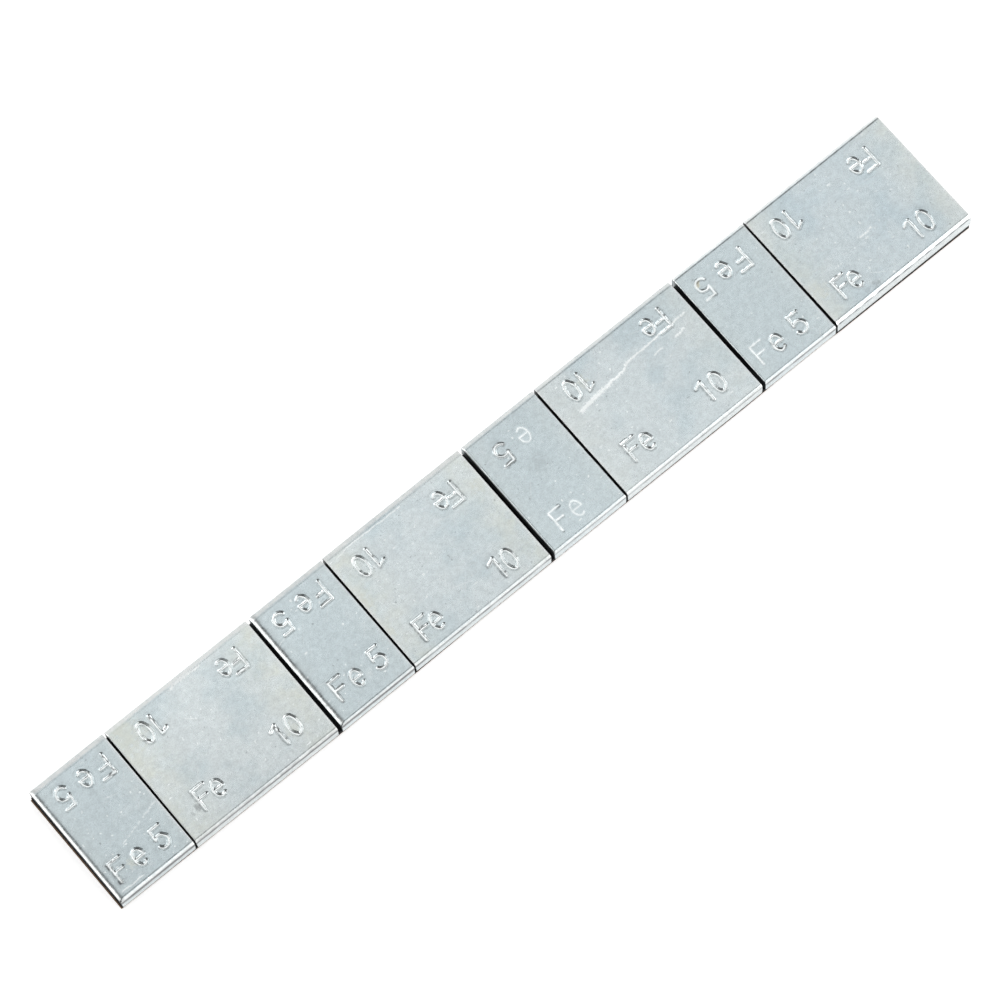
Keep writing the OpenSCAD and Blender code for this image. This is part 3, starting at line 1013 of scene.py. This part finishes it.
def floor_material(settings):
    """Pale floor: a diffuse surface that keeps the shadow, plus some plain white for what the
    camera, reflections and clear parts see of it."""
    material = bpy.data.materials.new("pale_floor")
    material.use_nodes = True
    s = Nodes(material.node_tree)
    diffuse = s.add("ShaderNodeBsdfDiffuse")
    s.feed(rgba(settings.floor), diffuse.inputs["Color"])
    path = s.add("ShaderNodeLightPath").outputs
    seen = s.math("MAXIMUM", path["Is Camera Ray"], path["Is Glossy Ray"])
    seen = s.math("MAXIMUM", seen, path["Is Transmission Ray"])
    white = s.add("ShaderNodeEmission")
    s.feed(s.math("MULTIPLY", seen, settings.floor_glow), white.inputs["Strength"])
    both = s.add("ShaderNodeAddShader")
    s.feed(diffuse.outputs["BSDF"], both.inputs[0])
    s.feed(white.outputs["Emission"], both.inputs[1])
    output = s.add("ShaderNodeOutputMaterial")
    s.feed(both.outputs["Shader"], output.inputs["Surface"])
    return material


def studio_world(settings):
    """Plain studio surroundings: white at the horizon, dark at mid height, grey overhead, pale low
    down behind the strip, and darkest where the photographer stands. With u the level part of the
    direction, d = smoothstep(u . front) and b = smoothstep(u . back), the light is the larger of
    horizon(z) and base(z) (1 - 0.75 d) + low(z) b."""
    world = bpy.data.worlds.new("studio")
    world.use_nodes = True
    s = Nodes(world.node_tree)
    split = s.add("ShaderNodeSeparateXYZ")
    s.feed(s.add("ShaderNodeTexCoord").outputs["Generated"], split.inputs[0])
    flat = s.add("ShaderNodeCombineXYZ")
    for axis in ("X", "Y"):
        s.feed(split.outputs[axis], flat.inputs[axis])
    unit = s.add("ShaderNodeVectorMath", operation="NORMALIZE")
    s.feed(flat.outputs[0], unit.inputs[0])

    def facing(toward, least, most):
        """0 to 1 by the cosine between the level part of the direction and toward."""
        dot = s.add("ShaderNodeVectorMath", operation="DOT_PRODUCT")
        s.feed(unit.outputs[0], dot.inputs[0])
        s.feed(toward, dot.inputs[1])
        return s.band(dot.outputs["Value"], least, most)

    lit = s.math("SUBTRACT", 1.0, facing(FRONT, 0.6, 0.82))
    z = split.outputs["Z"]
    base = s.math("ADD", s.math("MULTIPLY", lit, 0.75), 0.25)
    base = s.math("MULTIPLY", s.ramp(z, BASE_STEPS), base)
    low = s.math("MULTIPLY", s.ramp(z, LOW_STEPS), settings.low_light)
    low = s.math("MULTIPLY", low, facing(BACK, 0.2, 0.6))
    light = s.math("MAXIMUM", s.math("ADD", base, low), s.ramp(z, HORIZON_STEPS))
    background = s.add("ShaderNodeBackground")
    s.feed(light, background.inputs["Color"])
    output = s.add("ShaderNodeOutputWorld")
    s.feed(background.outputs["Background"], output.inputs["Surface"])
    return world


def add_softbox(name, place, size, brightness, aim=(0.0, 0.0, 0.0)):
    """A rectangular area lamp at place that faces aim. Its face shows the brightness, where 1 is
    white, so its power is brightness times pi times its area."""
    lamp = bpy.data.lights.new(name, "AREA")
    lamp.shape = "RECTANGLE"
    lamp.size, lamp.size_y = size
    lamp.energy = brightness * math.pi * size[0] * size[1]
    box = bpy.data.objects.new(name, lamp)
    toward = Vector(aim) - Vector(place)
    box.matrix_world = Matrix.Translation(place) @ toward.to_track_quat("-Z", "Y").to_matrix().to_4x4()
    bpy.context.scene.collection.objects.link(box)
    return box


class OBJECT_OT_studio_stage(bpy.types.Operator):
    """Makes the pale floor, the soft lamps, the surroundings and the camera"""

    bl_idname = "object.balance_weight_stage"
    bl_label = "Studio stage"

    def execute(self, context):
        settings = context.scene.stage_settings
        corners = np.array([(-1, -1, 0), (1, -1, 0), (1, 1, 0), (-1, 1, 0)]) * FLOOR_REACH
        mesh = bpy.data.meshes.new("pale_floor")
        mesh.from_pydata(corners.tolist(), [], [(0, 1, 2, 3)])
        mesh.materials.append(floor_material(settings))
        floor = bpy.data.objects.new("pale_floor", mesh)
        context.scene.collection.objects.link(floor)
        context.scene.world = studio_world(settings)

        view, up = Vector(settings.camera_view), Vector(settings.camera_up)
        right = view.cross(up).normalized()
        up = right.cross(view).normalized()
        below = (*OVERHEAD_PLACE[:2], 0.0)
        add_softbox("overhead_softbox", OVERHEAD_PLACE, OVERHEAD_SIZE, settings.overhead, below)
        for side in (-1, 1):
            place = side * right * SIDE_AWAY
            add_softbox("side_softbox", (place.x, place.y, SIDE_UP), SIDE_SIZE, settings.side)
        add_softbox("front_softbox", FRONT_PLACE, FRONT_SIZE, settings.front)

        camera = bpy.data.cameras.new("photo_camera")
        camera.lens = settings.lens
        camera.sensor_width = 36.0
        camera.clip_start, camera.clip_end = 0.01, 20.0
        holder = bpy.data.objects.new("photo_camera", camera)
        turn = Matrix((right, up, -view)).transposed().to_4x4()
        holder.matrix_world = Matrix.Translation(settings.camera_place) @ turn
        context.scene.collection.objects.link(holder)
        context.scene.camera = holder
        context.scene.view_settings.view_transform = "Standard"
        return {"FINISHED"}


OPERATORS = (
    OBJECT_OT_short_weights, OBJECT_OT_long_weights, OBJECT_OT_foam_tape,
    OBJECT_OT_release_liner, OBJECT_OT_studio_stage,
)


class VIEW3D_PT_balance_weight(bpy.types.Panel):
    """Lists the pieces of the strip and its settings"""

    bl_idname = "VIEW3D_PT_balance_weight"
    bl_label = "Balance weight"
    bl_space_type = "VIEW_3D"
    bl_region_type = "UI"
    bl_category = "Balance weight"

    def draw(self, context):
        for operator in OPERATORS:
            self.layout.operator(operator.bl_idname)
        for group in GROUPS:
            box = self.layout.box()
            owner = getattr(context.scene, group)
            for key in owner.bl_rna.properties.keys():
                if key not in {"rna_type", "name"}:
                    box.prop(owner, key)


GROUPS = {
    "weight_sizes": WeightSizes,
    "zinc_finish": ZincFinish,
    "tape_finish": TapeFinish,
    "stage_settings": StageSettings,
}


def register():
    """Registers the settings, the operators and the panel."""
    for group in GROUPS.values():
        bpy.utils.register_class(group)
    for key, group in GROUPS.items():
        setattr(bpy.types.Scene, key, bpy.props.PointerProperty(type=group))
    for item in OPERATORS + (VIEW3D_PT_balance_weight,):
        bpy.utils.register_class(item)


def unregister():
    """Takes away what register added."""
    for item in (VIEW3D_PT_balance_weight,) + OPERATORS[::-1]:
        bpy.utils.unregister_class(item)
    for key, group in GROUPS.items():
        delattr(bpy.types.Scene, key)
        bpy.utils.unregister_class(group)


def main():
    """Makes every piece and the stage."""
    register()
    bpy.ops.object.short_balance_weights()
    bpy.ops.object.long_balance_weights()
    bpy.ops.object.balance_weight_tape()
    bpy.ops.object.balance_weight_liner()
    bpy.ops.object.balance_weight_stage()


if __name__ == "__main__":
    main()
